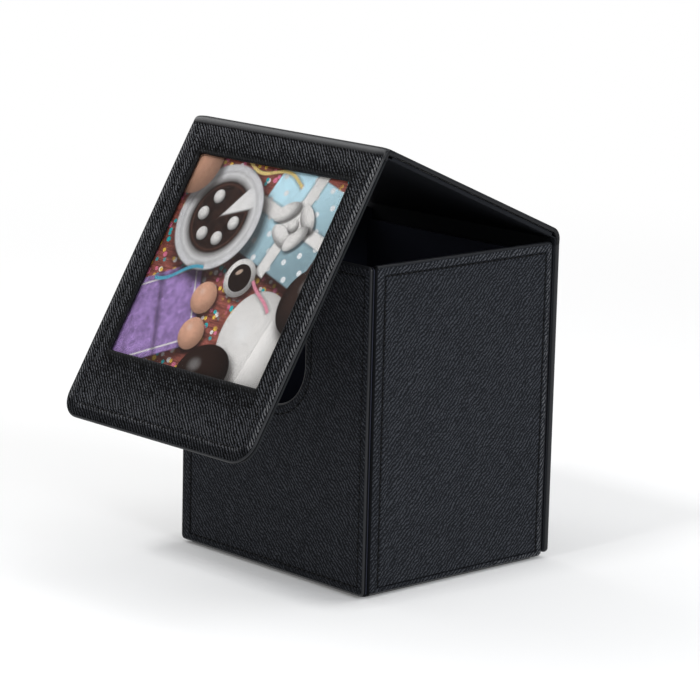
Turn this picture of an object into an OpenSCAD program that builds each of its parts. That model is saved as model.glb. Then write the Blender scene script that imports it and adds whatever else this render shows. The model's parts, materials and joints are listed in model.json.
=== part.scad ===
// Photo storage box for square instant prints.
// A board tray with a thumb notch in its front wall stands against the back panel of
// a cover. The cover folds over the tray as a lid and comes down in front as a flap,
// which holds a print behind a window. Both folds are leather hinges.
// Millimetres. X runs across the front, Y from front to back, Z up from the surface
// that it stands on. The origin is the middle of the underside.

/* [Body] */
// Width across the front wall
body_w = 80; // [76:1:110]
// Depth from the front face to the back ends of the side walls
body_d = 72.5; // [45:0.5:120]
// Height of the walls above the surface that the box stands on
body_h = 95; // [93:1:130]
// Drop from the top of the side walls to the top of the inner back wall
back_step = 4; // [1:0.5:12]
// Radius at the corners of the wall panels
panel_corner_r = 1.5; // [1.3:0.1:4]
// Radius of the turned leather edges
edge_r = 0.6; // [0.3:0.05:0.6]

/* [Layers] */
// Thickness of the grained leather
leather_t = 0.7; // [0.5:0.05:0.9]
// Thickness of the lining
lining_t = 0.5; // [0.3:0.05:0.7]
// Thickness of the board in the side walls
side_board_t = 1.4; // [0.8:0.1:1.6]
// Thickness of the board in the front wall
front_board_t = 1; // [0.7:0.1:1.6]
// Thickness of the board in the inner back wall
back_board_t = 1.2; // [0.8:0.1:2]
// Thickness of the board under the floor
base_board_t = 1.8; // [1:0.1:3]
// Distance that each lining stops short of the panel it lines
lining_inset = 0.6; // [0.3:0.1:1]

/* [Base] */
// Thickness of the leather sheet under the box
base_sheet_t = 0.8; // [0.5:0.1:1.5]
// Distance from the walls' outer faces in to the edge of that sheet
base_inset = 2; // [0.5:0.1:5]

/* [Thumb notch] */
// Radius of the round bottom of the notch, half its width
notch_r = 13.4; // [8:0.1:20]
// Depth of the notch below the top of the front wall
notch_depth = 45.4; // [30:0.1:60]

/* [Cover] */
// Distance that the lid and the flap stand out past each side wall
cover_overhang = 1; // [0.5:0.1:2]
// Distance that the cover's back panel stands out past each side wall
spine_overhang = 0.5; // [0:0.1:1]
// Thickness of the board in the cover's back panel
spine_board_t = 1.1; // [0.8:0.1:1.6]
// Height of the lower edge of the cover's back panel above the surface
spine_rise = 1.6; // [1:0.1:5]
// Thickness of the board in the lid
lid_board_t = 1; // [0.7:0.1:1.6]
// Thickness of the lid's inner panel
lid_lining_t = 1.4; // [0.8:0.1:1.8]
// Height of the flap's lower edge above the surface when closed
flap_rise = 1.9; // [1:0.1:3]
// Radius of the flap's lower corners
flap_corner_r = 7; // [3:0.5:9]
// Thickness of the board in the flap
flap_board_t = 0.7; // [0.5:0.1:1.2]
// Distance from the ridge to where the lid's and the flap's boards begin
ridge_reach = 3.6; // [3.4:0.1:5]
// Distance from the cover's back face to where the lid's board begins
back_reach = 4.2; // [4:0.1:5]

/* [Window and print] */
// Width of the window
window_w = 64; // [40:1:64]
// Height of the window
window_h = 63; // [40:1:64]
// Distance from the ridge to the top of the window
window_top = 11.8; // [11:0.1:13]
// Width of the print
print_w = 72; // [68:1:72]
// Height of the print
print_h = 86; // [76:1:86]
// Thickness of the print
print_t = 0.4; // [0.2:0.05:0.6]
// Distance from the top of the print to the top of the window
print_lap = 5.5; // [4:0.5:6]
// Thickness of the clear window film
film_t = 0.2; // [0.1:0.05:0.3]
// Overlap of the film behind the board around the window
film_lap = 2; // [1:0.5:3]
// Radius of the thumb cut on the flap's inner face, where a print is slid out
thumb_cut_r = 9; // [6:0.5:12]

/* [Magnets] */
// Radius of the magnets in the flap and of the steel plates in the front wall
magnet_r = 5; // [3:0.5:6]
// Distance between the two magnets
magnet_pitch = 44; // [20:1:54]
// Thickness of the steel plates
plate_t = 0.5; // [0.3:0.1:0.6]

/* [Pose] */
// Angle of the lid above its closed place
lid_open = 23; // [0:1:40]
// Angle of the flap outwards from square to the lid
flap_open = 8; // [0:1:60]

/* [Clearances] */
// Gap between the closed cover and the tray
close_gap = 0.3; // [0.2:0.05:0.8]
// Play of the print in its pocket, on each side
print_play = 0.5; // [0.2:0.1:0.8]
// Play of the film in its seat, on each side
film_play = 0.3; // [0.1:0.1:0.5]

/* [Hidden] */
$fn = 72;
// Wall thicknesses
side_shell_t = leather_t + side_board_t;
side_t = side_shell_t + lining_t;
front_shell_t = leather_t + front_board_t;
front_t = front_shell_t + lining_t;
back_t = back_board_t + lining_t;
spine_shell_t = leather_t + spine_board_t;
spine_t = spine_shell_t + lining_t;
// Planes of the tray
front_y = -body_d / 2;
front_in_y = front_y + front_t;
tray_back_y = body_d / 2;
back_in_y = tray_back_y - back_t;
in_w = body_w - 2 * side_t;
wall_z = base_sheet_t;
wall_h = body_h - wall_z;
floor_z = wall_z + base_board_t;
back_top_z = body_h - back_step;
notch_z = body_h - notch_depth + notch_r;
// Layers of the lid and the flap
lid_shell_t = leather_t + lid_board_t;
lid_t = lid_shell_t + lid_lining_t;
flap_shell_t = leather_t + flap_board_t;
pocket_t = film_t + print_t;
flap_lining_t = pocket_t + lining_t;
flap_t = flap_shell_t + flap_lining_t;
// Planes of the cover, with the lid and the flap in the closed place
cover_w = body_w + 2 * cover_overhang;
spine_w = body_w + 2 * spine_overhang;
spine_out_y = tray_back_y + spine_t;
spine_top_z = body_h - 1;
lid_under_z = body_h + close_gap;
lid_top_z = lid_under_z + lid_t;
flap_out_y = front_y - close_gap - flap_t;
flap_len = lid_top_z - flap_rise;
lid_back_y = spine_out_y - back_reach;
lid_front_y = flap_out_y + ridge_reach;
lid_len = lid_back_y - lid_front_y;
// The lines that the lid and the flap turn about lie in the hinge leathers
back_axis = [0, spine_out_y - leather_t, body_h + leather_t];
ridge_axis = [0, flap_out_y + leather_t, lid_top_z - leather_t];
// Outer radius of the ridge, inner radius of the lining's folds, and the distance that
// a hinge strip stops short of the cover's side edges
ridge_r = 2.2;
fold_r = 0.4;
hinge_trim = 0.4;
// Places on the flap, measured down from the ridge
print_top = window_top - print_lap;
pocket_top = print_top - print_play;
mouth_len = 2;
magnet_s = (window_top + window_h + flap_len) / 2;
magnet_z = lid_top_z - magnet_s;

leather_black = [0.09, 0.09, 0.1];
lining_black = [0.05, 0.05, 0.055];
board_grey = [0.55, 0.53, 0.5];
steel_grey = [0.6, 0.61, 0.63];

// Section through a panel's turned edge: square at x = 0, rounded at x = l
module turned_edge(l, t) {
    e = min(edge_r, 0.45 * t);
    square([l - e, t]);
    translate([0, e]) square([l, t - 2 * e]);
    for (y = [e, t - e]) translate([l - e, y]) circle(e);
}

// The same, turned at both edges and centred on x = 0
module turned_section(w, t) {
    for (side = [0, 1]) mirror([side, 0]) turned_edge(w / 2, t);
}

// Corner of a panel with turned edges, swept from +x round to +y
module rolled_corner(r, t) {
    rotate_extrude(angle = 90) turned_edge(r, t);
}

// Panel with turned edges, centred on X, from y = 0 to h and from z = 0 to t. Without
// near_edge, the side at y = 0 is cut square, where a hinge strip goes on.
module rolled_panel(w, h, r, t, near_edge = true) {
    near = near_edge ? r : 0;
    e = edge_r;
    translate([e - w / 2, near, 0]) cube([w - 2 * e, h - r - near, t]);
    translate([r - w / 2, near_edge ? e : 0, 0])
        cube([w - 2 * r, h - (near_edge ? 2 : 1) * e, t]);
    for (side = [0, 1]) mirror([side, 0, 0]) translate([w / 2 - r, 0, 0]) {
        translate([0, h - r, 0]) {
            rotate([90, 0, 0]) linear_extrude(h - r - near) turned_edge(r, t);
            rolled_corner(r, t);
        }
        if (near_edge) translate([0, r, 0]) rotate([0, 0, -90]) rolled_corner(r, t);
    }
    translate([r - w / 2, h - r, 0]) rotate([90, 0, 90]) linear_extrude(w - 2 * r)
        turned_edge(r, t);
    if (near_edge) translate([w / 2 - r, r, 0]) rotate([90, 0, -90])
        linear_extrude(w - 2 * r) turned_edge(r, t);
}

// Outline of a panel with r at its far corners, from y = 0 to h, drawn in by inset
module panel_outline(w, h, r, inset) {
    half = w / 2 - inset;
    far = h - inset;
    corner = max(r - inset, 0.2);
    translate([-half, 0]) square([2 * half, far - corner]);
    translate([corner - half, 0]) square([2 * (half - corner), far]);
    for (side = [-1, 1]) translate([side * (half - corner), far - corner]) circle(corner);
}

// Shape of the thumb notch in X and Z, widened by extra
module notch_outline(extra) {
    translate([0, notch_z]) circle(notch_r + extra);
    translate([-notch_r - extra, notch_z])
        square([2 * (notch_r + extra), body_h - notch_z + 1]);
}

// Turned edge of the thumb notch, a band r wide round its outline, drawn in X and Z
module notch_lip(r, t) {
    translate([0, notch_z, 0]) rotate([0, 0, 180]) rotate_extrude(angle = 180)
        translate([notch_r + r, 0]) mirror([1, 0]) turned_edge(r, t);
    for (side = [0, 1]) mirror([side, 0, 0]) translate([notch_r + r, body_h - r, 0]) {
        rotate([90, 0, 0]) linear_extrude(body_h - r - notch_z)
            mirror([1, 0]) turned_edge(r, t);
        rotate([0, 0, 90]) rolled_corner(r, t);
    }
}

// Stands a plate drawn in X and Z against the plane y, t thick towards the back
module upright(y, t) {
    translate([0, y + t, 0]) rotate([90, 0, 0]) linear_extrude(t) children();
}

// Extrudes a section drawn in Y and Z along X, centred
module along_x(w) {
    translate([-w / 2, 0, 0]) rotate([90, 0, 90]) linear_extrude(w) children();
}

// Everything on the inner side of the face that lies at radius q in a strip's bend
module bend_side(q, turn, far) {
    circle(q);
    translate([-far, -far]) square([far + q, far]);
    rotate(turn) translate([-far, 0]) square([far + q, far]);
}

// Thin strip with one round bend, drawn from the end of its first leg. That leg runs
// along +y with its outer face on x = 0, and the bend turns the strip to the left. Both
// legs are measured to the corner where their outer faces would meet.
module bent_strip(leg_1, leg_2, turn, radius, t) {
    r = min(radius, (min(leg_1, leg_2) - 0.05) / tan(turn / 2));
    cut = r * tan(turn / 2);
    far = leg_1 + leg_2 + r;
    translate([-r, leg_1 - cut]) intersection() {
        difference() {
            bend_side(r, turn, far);
            bend_side(r - t, turn, far + 1);
        }
        translate([-far, cut - leg_1]) square(2 * far);
        rotate(turn) translate([-far, leg_2 - cut - 2 * far]) square(2 * far);
    }
}

// Turns children from the closed place to the place shown
module lid_place() {
    translate(back_axis) rotate([-lid_open, 0, 0]) translate(-back_axis) children();
}

module flap_place() {
    lid_place() translate(ridge_axis) rotate([-flap_open, 0, 0]) translate(-ridge_axis)
        children();
}

// Places a flap layer, drawn with y down from the ridge and z in from the outer face
module on_flap(depth) {
    flap_place() translate([0, flap_out_y + depth, lid_top_z]) rotate([-90, 0, 0])
        children();
}

// Board and leather of the base

module base_board() {
    color(board_grey) translate([-in_w / 2, front_in_y, wall_z])
        cube([in_w, back_in_y + lining_t - front_in_y, base_board_t]);
}

module base_sheet() {
    sheet_w = body_w - 2 * base_inset;
    sheet_d = body_d - 2 * base_inset;
    color(leather_black) translate([0, -sheet_d / 2, 0])
        rolled_panel(sheet_w, sheet_d, panel_corner_r, base_sheet_t);
}

module floor_lining() {
    color(lining_black) translate([-in_w / 2, front_in_y, floor_z])
        cube([in_w, back_in_y - front_in_y, lining_t]);
}

// Front wall with the thumb notch and the steel plates that the magnets find

module front_outline(inset) {
    difference() {
        translate([0, wall_z + inset]) panel_outline(body_w, wall_h - inset,
            panel_corner_r, inset);
        notch_outline(inset);
    }
}

module plate_places() {
    for (side = [-1, 1]) translate([side * magnet_pitch / 2, magnet_z]) children();
}

module front_board() {
    color(board_grey) difference() {
        upright(front_y + leather_t, front_board_t) front_outline(leather_t);
        upright(front_y + leather_t, plate_t) plate_places() circle(magnet_r);
    }
}

module catch_plates() {
    color(steel_grey) upright(front_y + leather_t, plate_t) plate_places()
        circle(magnet_r);
}

module front_cover() {
    r = panel_corner_r;
    color(leather_black) translate([0, front_y + front_shell_t, 0]) rotate([90, 0, 0])
        difference() {
            union() {
                difference() {
                    translate([0, wall_z, 0])
                        rolled_panel(body_w, wall_h, r, front_shell_t);
                    translate([0, 0, -1]) linear_extrude(front_shell_t + 2) {
                        notch_outline((edge_r + r) / 2);
                        translate([-notch_r - r, body_h - r])
                            square(2 * (notch_r + r));
                    }
                }
                notch_lip(r, front_shell_t);
            }
            translate([0, 0, -1]) linear_extrude(front_board_t + 1)
                front_outline(leather_t);
        }
}

module front_lining() {
    color(lining_black) upright(front_y + front_shell_t, lining_t)
        front_outline(lining_inset);
}

// Side walls, drawn on the right and mirrored for the left

module side_board() {
    color(board_grey) translate([body_w / 2 - side_shell_t, front_in_y + leather_t,
        wall_z + leather_t])
        cube([side_board_t, tray_back_y - front_in_y - 2 * leather_t,
            wall_h - 2 * leather_t]);
}

module side_cover() {
    side_len = tray_back_y - front_in_y;
    color(leather_black) difference() {
        translate([body_w / 2 - side_shell_t, front_in_y + side_len / 2, wall_z])
            rotate([90, 0, 90]) rolled_panel(side_len, wall_h, panel_corner_r,
                side_shell_t);
        side_board();
    }
}

module side_lining() {
    color(lining_black) translate([in_w / 2, front_in_y, wall_z])
        cube([lining_t, tray_back_y - front_in_y, wall_h - lining_inset]);
}

module left_board() { mirror([1, 0, 0]) side_board(); }
module left_cover() { mirror([1, 0, 0]) side_cover(); }
module left_lining() { mirror([1, 0, 0]) side_lining(); }
module right_board() { side_board(); }
module right_cover() { side_cover(); }
module right_lining() { side_lining(); }

// Inner back wall, lower than the side walls, with the lining turned over its top

module back_board() {
    color(board_grey) along_x(in_w) translate([tray_back_y - back_board_t, wall_z])
        square([back_board_t, back_top_z - lining_t - wall_z]);
}

module back_lining() {
    color(lining_black) along_x(in_w) {
        translate([back_in_y, floor_z]) square([lining_t, back_top_z - floor_z]);
        translate([back_in_y, back_top_z - lining_t]) square([back_t, lining_t]);
    }
}

// Back panel of the cover. Its top is cut square, where the hinge goes on.

module on_spine(depth) {
    translate([0, spine_out_y - depth, spine_top_z]) rotate([90, 180, 0]) children();
}

module spine_board() {
    color(board_grey) on_spine(leather_t) linear_extrude(spine_board_t)
        panel_outline(spine_w, spine_top_z - spine_rise, panel_corner_r, leather_t);
}

module spine_cover() {
    spine_len = spine_top_z - spine_rise;
    color(leather_black) difference() {
        on_spine(0) rolled_panel(spine_w, spine_len, panel_corner_r, spine_shell_t, false);
        on_spine(leather_t) translate([0, -1, 0]) linear_extrude(spine_board_t + 1)
            panel_outline(spine_w, spine_len + 1, panel_corner_r, leather_t);
    }
}

module spine_lining() {
    color(lining_black) on_spine(spine_shell_t) linear_extrude(lining_t)
        panel_outline(spine_w, spine_top_z - spine_rise, panel_corner_r, lining_inset);
}

// Back hinge. The leather bends from the back panel's outer face to the lid's top, and
// the lining from the back panel's inner face to the lid's underside.

// Height at which the lid's plane, rise above the hinge line, meets the plane y
function lid_meets(y, rise) = back_axis[2]
    + (rise - sin(lid_open) * (y - back_axis[1])) / cos(lid_open);

// Length from there to the back end of the lid's board
function lid_leg(y, rise) = back_axis[1] - lid_back_y
    + cos(lid_open) * (y - back_axis[1])
    - sin(lid_open) * (lid_meets(y, rise) - back_axis[2]);

module back_strip(y, rise, radius, t) {
    along_x(spine_w - 2 * hinge_trim) translate([y, spine_top_z])
        bent_strip(lid_meets(y, rise) - spine_top_z, lid_leg(y, rise), 90 - lid_open,
            radius, t);
}

module back_hinge_leather() {
    color(leather_black)
        back_strip(spine_out_y, lid_top_z - back_axis[2], back_reach * 2, leather_t);
}

module back_hinge_lining() {
    color(lining_black) back_strip(tray_back_y + lining_t,
        lid_under_z + lining_t - back_axis[2], fold_r + lining_t, lining_t);
}

// Lid: a leather covered board with a thinner panel under it

module lid_layer(w, z, t) {
    lid_place() translate([0, lid_back_y, z]) rotate([90, 0, 0]) linear_extrude(lid_len)
        turned_section(w, t);
}

module lid_board() {
    color(board_grey) lid_place()
        translate([leather_t - cover_w / 2, lid_front_y, lid_top_z - lid_shell_t])
        cube([cover_w - 2 * leather_t, lid_len, lid_board_t]);
}

module lid_cover() {
    color(leather_black) difference() {
        lid_layer(cover_w, lid_top_z - lid_shell_t, lid_shell_t);
        lid_place() translate([leather_t - cover_w / 2, lid_front_y - 1,
            lid_top_z - lid_shell_t - 1])
            cube([cover_w - 2 * leather_t, lid_len + 2, lid_board_t + 1]);
    }
}

module lid_lining() {
    color(lining_black)
        lid_layer(cover_w - 2 * lining_inset, lid_under_z, lid_lining_t);
}

// Ridge hinge, between the lid's front end and the flap's upper end

module ridge_hinge_leather() {
    leg = ridge_reach - leather_t + leather_t * tan((90 - flap_open) / 2);
    color(leather_black) lid_place() along_x(cover_w - 2 * hinge_trim)
        translate([lid_front_y, lid_top_z]) rotate(90)
        bent_strip(leg, leg, 90 - flap_open, ridge_r, leather_t);
}

module ridge_hinge_lining() {
    // Depths of the lining's outer faces below the lid's top and behind the flap's
    // face, both from the line that the flap turns about
    below = lid_t - lining_t - leather_t;
    behind = flap_t - lining_t - leather_t;
    meet = (behind - below * sin(flap_open)) / cos(flap_open);
    reach = ridge_reach - leather_t;
    leg_2 = reach + meet * sin(flap_open) - below * cos(flap_open);
    color(lining_black) lid_place() along_x(cover_w - 2 * lining_inset - 2 * hinge_trim)
        translate([lid_front_y, lid_under_z + lining_t]) rotate(90)
        bent_strip(reach - meet, leg_2, 90 - flap_open, fold_r + lining_t, lining_t);
}

// Flap: a leather covered board with a window, and a pocket panel behind it

module window_outline(extra) {
    translate([-window_w / 2 - extra, window_top - extra])
        square([window_w + 2 * extra, window_h + 2 * extra]);
}

module flap_outline(inset) {
    translate([0, ridge_reach]) panel_outline(cover_w, flap_len - ridge_reach,
        flap_corner_r, inset);
}

module magnet_places() {
    for (side = [-1, 1])
        translate([side * magnet_pitch / 2, magnet_s]) children();
}

module flap_board() {
    color(board_grey) on_flap(leather_t) linear_extrude(flap_board_t) difference() {
        flap_outline(leather_t);
        window_outline(leather_t);
        magnet_places() circle(magnet_r);
    }
}

module flap_magnets() {
    color(steel_grey) on_flap(leather_t) linear_extrude(flap_board_t) magnet_places()
        circle(magnet_r);
}

module flap_cover() {
    color(leather_black) difference() {
        on_flap(0) translate([0, ridge_reach, 0]) rolled_panel(cover_w,
            flap_len - ridge_reach, flap_corner_r, flap_shell_t, false);
        on_flap(leather_t) linear_extrude(flap_board_t + 1) difference() {
            union() {
                flap_outline(leather_t);
                translate([0, -1]) flap_outline(leather_t);
            }
            window_outline(leather_t);
        }
        on_flap(-1) linear_extrude(flap_shell_t + 2) window_outline(0);
    }
}

module flap_lining() {
    pocket_w = print_w + 2 * print_play;
    color(lining_black) on_flap(flap_shell_t) difference() {
        translate([0, ridge_reach, 0]) rolled_panel(cover_w - 2 * lining_inset,
            flap_len - ridge_reach - lining_inset, flap_corner_r - lining_inset,
            flap_lining_t, false);
        // Seat for the film, and the print's pocket behind it
        translate([0, 0, -1]) linear_extrude(film_t + 1)
            window_outline(film_lap + film_play);
        translate([-pocket_w / 2, pocket_top, -1])
            cube([pocket_w, print_h + 2 * print_play, pocket_t + 1]);
        // Mouth across the top of the pocket, with a thumb cut below it
        translate([-pocket_w / 2, pocket_top, 0]) cube([pocket_w, mouth_len, flap_t]);
        intersection() {
            translate([0, pocket_top + mouth_len, 0]) cylinder(h = flap_t, r = thumb_cut_r);
            translate([-thumb_cut_r, pocket_top + mouth_len / 2, 0])
                cube([2 * thumb_cut_r, 2 * thumb_cut_r, flap_t]);
        }
    }
}

module window_film() {
    color([0.85, 0.9, 0.95, 0.3]) on_flap(flap_shell_t) linear_extrude(film_t)
        window_outline(film_lap);
}

module photo_print() {
    color([0.93, 0.93, 0.9]) on_flap(flap_shell_t + film_t)
        translate([-print_w / 2, print_top, 0]) cube([print_w, print_h, print_t]);
}

base_board();
base_sheet();
floor_lining();
front_board();
front_cover();
front_lining();
catch_plates();
left_board();
left_cover();
left_lining();
right_board();
right_cover();
right_lining();
back_board();
back_lining();
spine_board();
spine_cover();
spine_lining();
back_hinge_leather();
back_hinge_lining();
lid_board();
lid_cover();
lid_lining();
ridge_hinge_leather();
ridge_hinge_lining();
flap_board();
flap_cover();
flap_lining();
flap_magnets();
window_film();
photo_print();
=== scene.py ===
"""Photo storage box in grained black leather, with a print in the window of its flap."""

import json
import math
from types import SimpleNamespace

import bmesh
import bpy
from bpy.props import FloatProperty, FloatVectorProperty, PointerProperty
from mathutils import Matrix, Vector


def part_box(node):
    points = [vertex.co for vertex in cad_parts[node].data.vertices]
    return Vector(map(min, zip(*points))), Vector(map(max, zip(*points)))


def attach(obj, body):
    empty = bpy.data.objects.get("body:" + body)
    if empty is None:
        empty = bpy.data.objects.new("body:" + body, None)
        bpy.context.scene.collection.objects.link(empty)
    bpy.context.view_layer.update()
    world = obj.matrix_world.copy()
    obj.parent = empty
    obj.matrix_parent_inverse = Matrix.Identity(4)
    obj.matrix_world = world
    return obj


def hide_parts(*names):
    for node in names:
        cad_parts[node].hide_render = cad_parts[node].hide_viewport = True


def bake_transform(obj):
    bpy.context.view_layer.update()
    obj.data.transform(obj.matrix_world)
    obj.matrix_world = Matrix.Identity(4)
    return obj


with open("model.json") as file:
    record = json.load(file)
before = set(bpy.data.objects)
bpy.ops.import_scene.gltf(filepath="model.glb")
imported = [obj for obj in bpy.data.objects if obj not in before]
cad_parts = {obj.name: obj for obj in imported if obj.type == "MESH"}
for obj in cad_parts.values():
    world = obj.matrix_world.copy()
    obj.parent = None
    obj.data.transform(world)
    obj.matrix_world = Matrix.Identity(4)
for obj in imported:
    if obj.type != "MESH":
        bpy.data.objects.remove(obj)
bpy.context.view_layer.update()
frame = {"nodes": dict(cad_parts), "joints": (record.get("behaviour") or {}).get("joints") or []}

bl_info = {
    "name": "Photo storage box",
    "version": (1, 0, 0),
    "blender": (4, 5, 0),
    "location": "View3D > Sidebar > Photo box",
    "description": "Builds the leather, linings, seams and print of a photo storage box",
    "category": "Object",
}

MM = 0.001
ACROSS, BACK, UP = Vector((1, 0, 0)), Vector((0, 1, 0)), Vector((0, 0, 1))

# Sizes of the solids, in millimetres, with the cover in its closed place
LEATHER_T, LINING_T, FILM_T, PRINT_T = 0.7, 0.5, 0.2, 0.4
SHELL_SIDE, SHELL_FRONT, SHELL_SPINE, SHELL_LID, SHELL_FLAP = 2.1, 1.7, 1.8, 1.7, 1.4
FLAP_T, LID_T = 2.5, 3.1
CORNER_R, EDGE_R, SQUARE_R = 1.5, 0.6, 0.12
NOTCH_R, NOTCH_Z = 13.4, 63.0
LID_FRONT_Y, LID_BACK_Y, LID_TOP_Z, LID_UNDER_Z = -35.45, 34.35, 98.4, 95.3
SPINE_OUT_Y, SPINE_TOP_Z, SPINE_RISE = 38.55, 94.0, 1.6
TRAY_BACK_Y = 36.25
FLAP_OUT_Y, FLAP_LEN, FLAP_CORNER_R = -39.05, 96.5, 7.0
RIDGE_REACH, RIDGE_R, BACK_FOLD_R, LINING_FOLD_R = 3.6, 2.2, 8.4, 0.9
WINDOW_W, WINDOW_H, WINDOW_TOP = 64.0, 63.0, 11.8
PRINT_W, PRINT_H, PRINT_TOP, PRINT_CORNER_R = 72.0, 86.0, 6.3, 1.6
PICTURE, PICTURE_TOP = 66.0, 4.0
LID_OPEN, FLAP_OPEN = math.radians(23), math.radians(8)

# How far a turned edge's leather reaches in under the panel, and how many of its rows lie
# on the outer half of its rounding
TURN_IN, ROUND_ROWS = 1.4, 4
# Width of the band beside an edge where a highlight is painted on the grain
SHEEN_W = 2.6

JOINTS = {joint["name"]: Vector(joint["pos_m"]) for joint in frame["joints"]}


def turn_about(point, angle):
    """Turns about the X direction through a point, the way that the cover opens."""
    move = Matrix.Translation(point)
    return move @ Matrix.Rotation(-angle, 4, "X") @ move.inverted()


def placed(origin, u, v, w):
    """A plane's own place: columns are its width, length and outward directions."""
    basis = Matrix((u, v, w)).transposed().to_4x4()
    return Matrix.Translation(Vector(origin) * MM) @ basis @ Matrix.Scale(MM, 4)


def node_box(name):
    """Lowest and highest corner of a solid, in millimetres."""
    return [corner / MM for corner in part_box(name)]


def node_width(name):
    low, high = node_box(name)
    return high.x - low.x


LID_POSE = turn_about(JOINTS["lid_hinge"], LID_OPEN)
FLAP_POSE = turn_about(JOINTS["flap_hinge"], FLAP_OPEN) @ LID_POSE

(_, FRONT_Y, WALL_Z), (_, _, BODY_H) = node_box("front_cover")
SIDE_Y = node_box("right_cover")[0].y
BODY_W, COVER_W, SPINE_W = map(node_width, ("front_cover", "lid_cover", "spine_cover"))
WALL_H = BODY_H - WALL_Z


def length_prop(name, description, default, low=0.0, high=10.0):
    """A length, given in millimetres and kept in metres."""
    return FloatProperty(
        name=name, description=description, default=default * MM, min=low * MM,
        max=high * MM, unit="LENGTH", precision=5)


def angle_prop(name, description, degrees):
    return FloatProperty(
        name=name, description=description, default=math.radians(degrees), subtype="ANGLE")


def number_prop(name, description, default, **more):
    return FloatProperty(name=name, description=description, default=default, min=0, **more)


def colour_prop(name, description, default):
    return FloatVectorProperty(
        name=name, description=description, default=default, subtype="COLOR", size=3,
        min=0, max=1)


class LeatherSizes(bpy.types.PropertyGroup):
    """Colours of the leather and the linings, and the leather's grain."""

    colour: colour_prop("Leather", "Colour of the leather", (0.0103, 0.0113, 0.0137))
    lining: colour_prop(
        "Cover lining", "Lining of the lid and the folds", (0.0118, 0.0130, 0.0162))
    tray: colour_prop("Tray lining", "Lining inside the box", (0.0255, 0.0285, 0.045))
    inner: colour_prop(
        "Inner leather", "Plain leather behind the flap and under the base",
        (0.0115, 0.0135, 0.0155))
    rib_pitch: length_prop("Rib pitch", "Distance between the grain's ribs", 1.03, 0.3)
    rib_turn: angle_prop("Rib turn", "Angle of the ribs to the panel's length", 45)
    cover_pitch: number_prop(
        "Cover pitch", "Rib pitch of the cover as a share of the walls'", 0.84)
    cross_pitch: length_prop("Cross pitch", "Distance between the breaks in a rib", 1.7, 0.2)
    depth: length_prop("Depth", "Depth of the grain", 0.2)


class SeamSizes(bpy.types.PropertyGroup):
    """Stitches and the channel that they lie in."""

    pitch: length_prop("Pitch", "Length of a stitch with its gap", 2.1, 0.8)
    stitch: length_prop("Stitch", "Length of the thread that shows", 1.55, 0.4)
    thread_r: length_prop("Thread", "Radius of the thread", 0.23, 0.05)
    channel: length_prop("Channel", "Depth that the thread pulls the leather in", 0.28)
    channel_w: length_prop("Channel width", "Half width of that channel", 0.5, 0.2)
    crown: length_prop("Crown", "How far the leather rolls off to a sewn edge", 0.35)
    cover: length_prop(
        "Cover seam", "Distance from the cover's edge to its stitches", 4.3, 1.5)


class PrintColours(bpy.types.PropertyGroup):
    """Colours of the print's picture."""

    ground: colour_prop("Table", "Table under everything", (0.30, 0.088, 0.068))
    blue: colour_prop("Blue", "Parcel's paper", (0.50, 0.74, 0.84))
    lavender: colour_prop("Lavender", "Napkin", (0.36, 0.23, 0.52))
    cream: colour_prop("Cream", "Ribbon, cream, cup and pale balloon", (0.86, 0.84, 0.82))
    peach: colour_prop("Peach", "Small cakes and a balloon", (0.80, 0.44, 0.30))
    brown: colour_prop("Brown", "Cake and dark balloons", (0.03, 0.013, 0.009))


class StageSizes(bpy.types.PropertyGroup):
    """Camera and lights."""

    azimuth: angle_prop("Azimuth", "Turn of the camera round the box", 47.255)
    elevation: angle_prop("Elevation", "Height angle of the camera", 11.823)
    roll: angle_prop("Roll", "Roll of the camera", 1.425)
    place: FloatVectorProperty(
        name="Place", description="Where the camera stands", subtype="TRANSLATION",
        size=3, default=(0.67175, -0.62703, 0.25282))
    focal_px: number_prop(
        "Focal length", "Focal length in pixels of a 700 pixel frame", 3202.2)
    key_w: number_prop("Key light", "Power of the key light", 4.7, unit="POWER")
    fill_w: number_prop("Fill light", "Power of the fill light", 5.6, unit="POWER")
    top_w: number_prop("Top light", "Power of the top light", 2.6, unit="POWER")
    ridge_w: number_prop("Ridge light", "Power of the light on the ridge", 4.2, unit="POWER")
    sky: number_prop("Sky", "Strength of the soft light all round", 0.44)
    mirrored: number_prop("Mirrored floor", "Brightness of the floor seen in gloss", 0.5)
    room: number_prop("Room", "Brightness of the room seen in gloss", 0.15)


def in_mm(group):
    """A group's values, with its lengths in millimetres."""
    values = {}
    for key in type(group).__annotations__:
        values[key] = getattr(group, key)
        if group.bl_rna.properties[key].unit == "LENGTH":
            values[key] = round(values[key] / MM, 5)
    return SimpleNamespace(**values)


class Value:
    """A shader socket whose operators add Math nodes."""

    def __init__(self, shader, socket):
        self.shader, self.socket = shader, socket

    def output(self, name):
        """Another output of the node that this value comes from."""
        return Value(self.shader, self.socket.node.outputs[name])

    def __add__(self, other):
        return self.shader.math("ADD", self, other)

    def __sub__(self, other):
        return self.shader.math("SUBTRACT", self, other)

    def __rsub__(self, other):
        return self.shader.math("SUBTRACT", other, self)

    def __mul__(self, other):
        return self.shader.math("MULTIPLY", self, other)

    def __truediv__(self, other):
        return self.shader.math("DIVIDE", self, other)

    def __rtruediv__(self, other):
        return self.shader.math("DIVIDE", other, self)

    def __abs__(self):
        return self.shader.math("ABSOLUTE", self)

    __radd__ = __add__
    __rmul__ = __mul__

    def sin(self):
        return self.shader.math("SINE", self)

    def floor(self):
        return self.shader.math("FLOOR", self)

    def least(self, other):
        return self.shader.math("MINIMUM", self, other)

    def most(self, other):
        return self.shader.math("MAXIMUM", self, other)

    def fade(self, start, end):
        """0 at start, 1 at end, smooth between."""
        return self.shader.node(
            "ShaderNodeMapRange", {"interpolation_type": "SMOOTHSTEP"},
            {"Value": self, "From Min": start, "From Max": end})


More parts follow.
